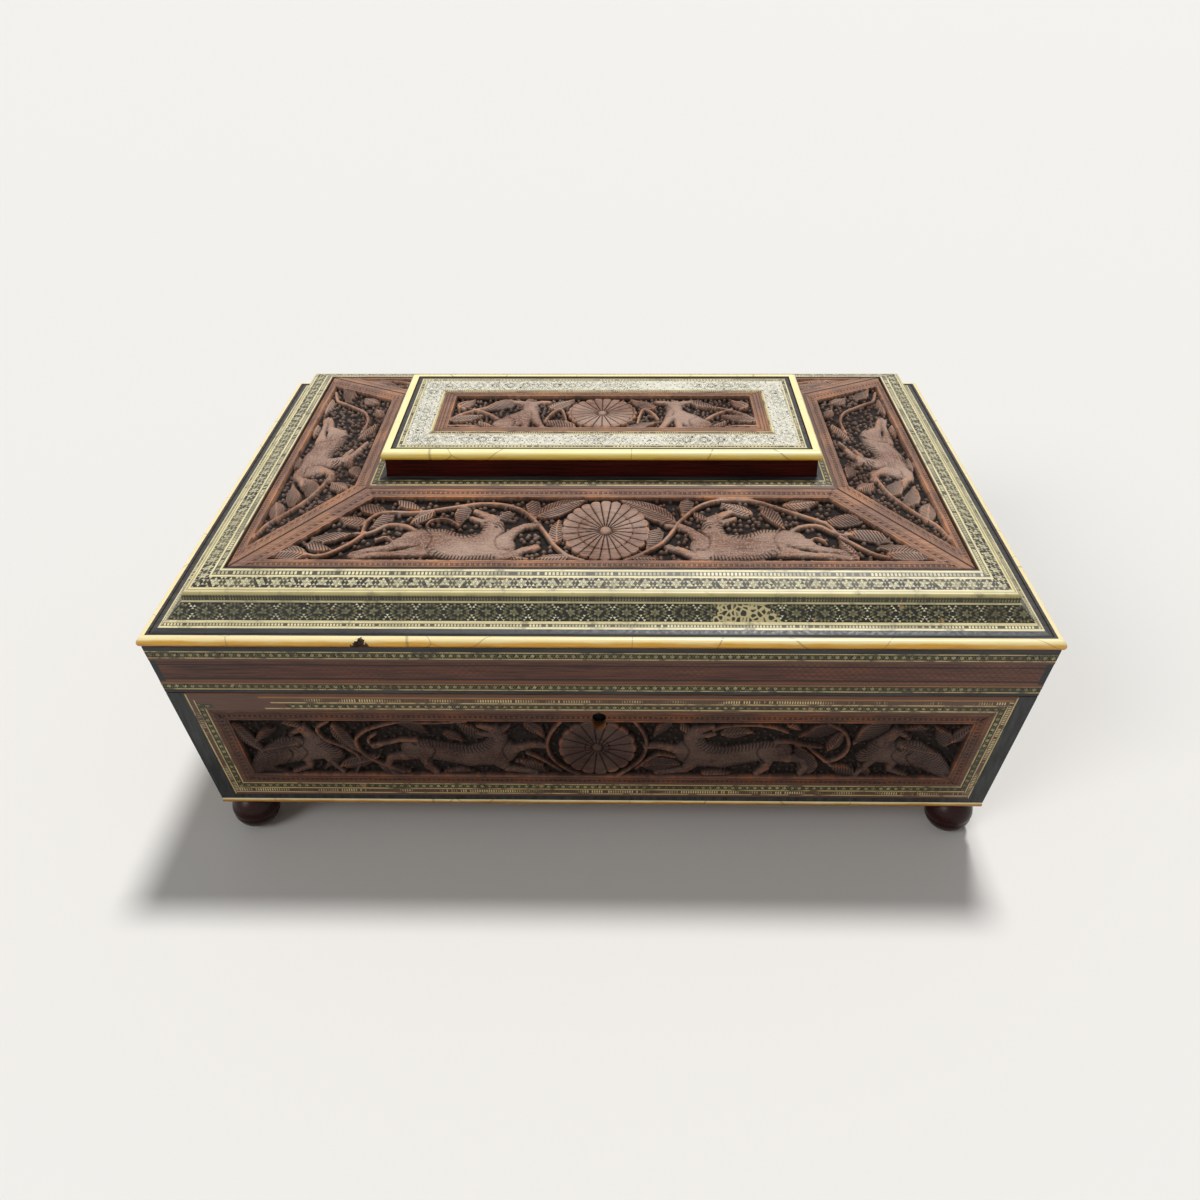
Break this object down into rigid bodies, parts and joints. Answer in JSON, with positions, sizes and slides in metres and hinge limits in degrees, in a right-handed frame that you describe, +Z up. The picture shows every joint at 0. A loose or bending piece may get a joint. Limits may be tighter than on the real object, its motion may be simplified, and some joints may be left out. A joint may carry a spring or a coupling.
{
  "type": "jewellery box",
  "caption": "Carved sandalwood jewellery box with flared sides, stepped hipped lid, raised plinth, mosaic and bone borders, ball feet, lock and lift-out tray.",
  "frame": {"origin": "on the surface the box stands on, under the middle of the lid's outline", "axes": "+X to the right of a viewer facing the keyhole, +Y towards the hinges, +Z up"},
  "size_m": [0.28, 0.202, 0.1211],
  "materials": {
    "carved_sandalwood": "hand-carved, dark reddish brown in the sunk ground, paler and orange on worn high edges",
    "plain_sandalwood": "planed, unpolished sandalwood",
    "rosewood": "french-polished dark red-brown",
    "mosaic": "veneer of hexagonal micro-mosaic in ivory, dark wood and pewter between light and dotted lines",
    "horn": "scraped dark horn, softly glossy",
    "bone": "aged bone, cream to amber",
    "brass": "aged brass",
    "steel": "filed steel, slightly dull"
  },
  "bodies": {
    "base": {"bottom_board": "plain_sandalwood", "foot_front_left": "rosewood", "foot_front_right": "rosewood", "foot_back_left": "rosewood", "foot_back_right": "rosewood", "base_front_wall": "plain_sandalwood", "base_right_wall": "plain_sandalwood", "base_back_wall": "plain_sandalwood", "base_left_wall": "plain_sandalwood", "base_front_carved_panel": "carved_sandalwood", "base_right_carved_panel": "carved_sandalwood", "base_back_carved_panel": "carved_sandalwood", "base_left_carved_panel": "carved_sandalwood", "base_front_mosaic_border": "mosaic", "base_right_mosaic_border": "mosaic", "base_back_mosaic_border": "mosaic", "base_left_mosaic_border": "mosaic", "base_horn_edging": "horn", "base_bone_edging": "bone", "hinge_left_lower_leaf": "brass", "hinge_left_pin": "steel", "hinge_left_lower_screw_1": "brass", "hinge_left_lower_screw_2": "brass", "hinge_right_lower_leaf": "brass", "hinge_right_pin": "steel", "hinge_right_lower_screw_1": "brass", "hinge_right_lower_screw_2": "brass", "lock_case": "steel", "lock_cap": "steel", "lock_screw_1": "steel", "lock_screw_2": "steel"},
    "lid": {"lid_front_rail": "carved_sandalwood", "lid_right_rail": "carved_sandalwood", "lid_back_rail": "carved_sandalwood", "lid_left_rail": "carved_sandalwood", "skirt_upper_mosaic_band": "mosaic", "skirt_lower_mosaic_band": "mosaic", "lid_mosaic_cornice": "mosaic", "lid_bone_edging": "bone", "lid_front_carved_slope": "carved_sandalwood", "lid_right_carved_slope": "carved_sandalwood", "lid_back_carved_slope": "carved_sandalwood", "lid_left_carved_slope": "carved_sandalwood", "plinth_block": "rosewood", "plinth_carved_panel": "carved_sandalwood", "plinth_mosaic_border": "mosaic", "plinth_bone_edging": "bone", "hinge_left_upper_leaf": "brass", "hinge_left_upper_screw_1": "brass", "hinge_left_upper_screw_2": "brass", "hinge_right_upper_leaf": "brass", "hinge_right_upper_screw_1": "brass", "hinge_right_upper_screw_2": "brass", "link_plate": "steel", "link_plate_screw_1": "steel", "link_plate_screw_2": "steel"},
    "bolt": {"lock_bolt": "steel"},
    "tray": {"tray_bottom": "plain_sandalwood", "tray_sides": "plain_sandalwood", "tray_partitions": "plain_sandalwood"}
  },
  "joints": [
    {"name": "lid_hinge", "type": "hinge", "parent": "base", "child": "lid", "pos_m": [0, 0.09864, 0.06785], "axis": [-1, 0, 0], "range_deg": [0, 100]},
    {"name": "bolt_slide", "type": "slide", "parent": "base", "child": "bolt", "axis": [1, 0, 0], "range_m": [0, 0.0045]},
    {"name": "tray_lift", "type": "slide", "parent": "base", "child": "tray", "axis": [0, 0, 1], "range_m": [0, 0.022]}
  ]
}
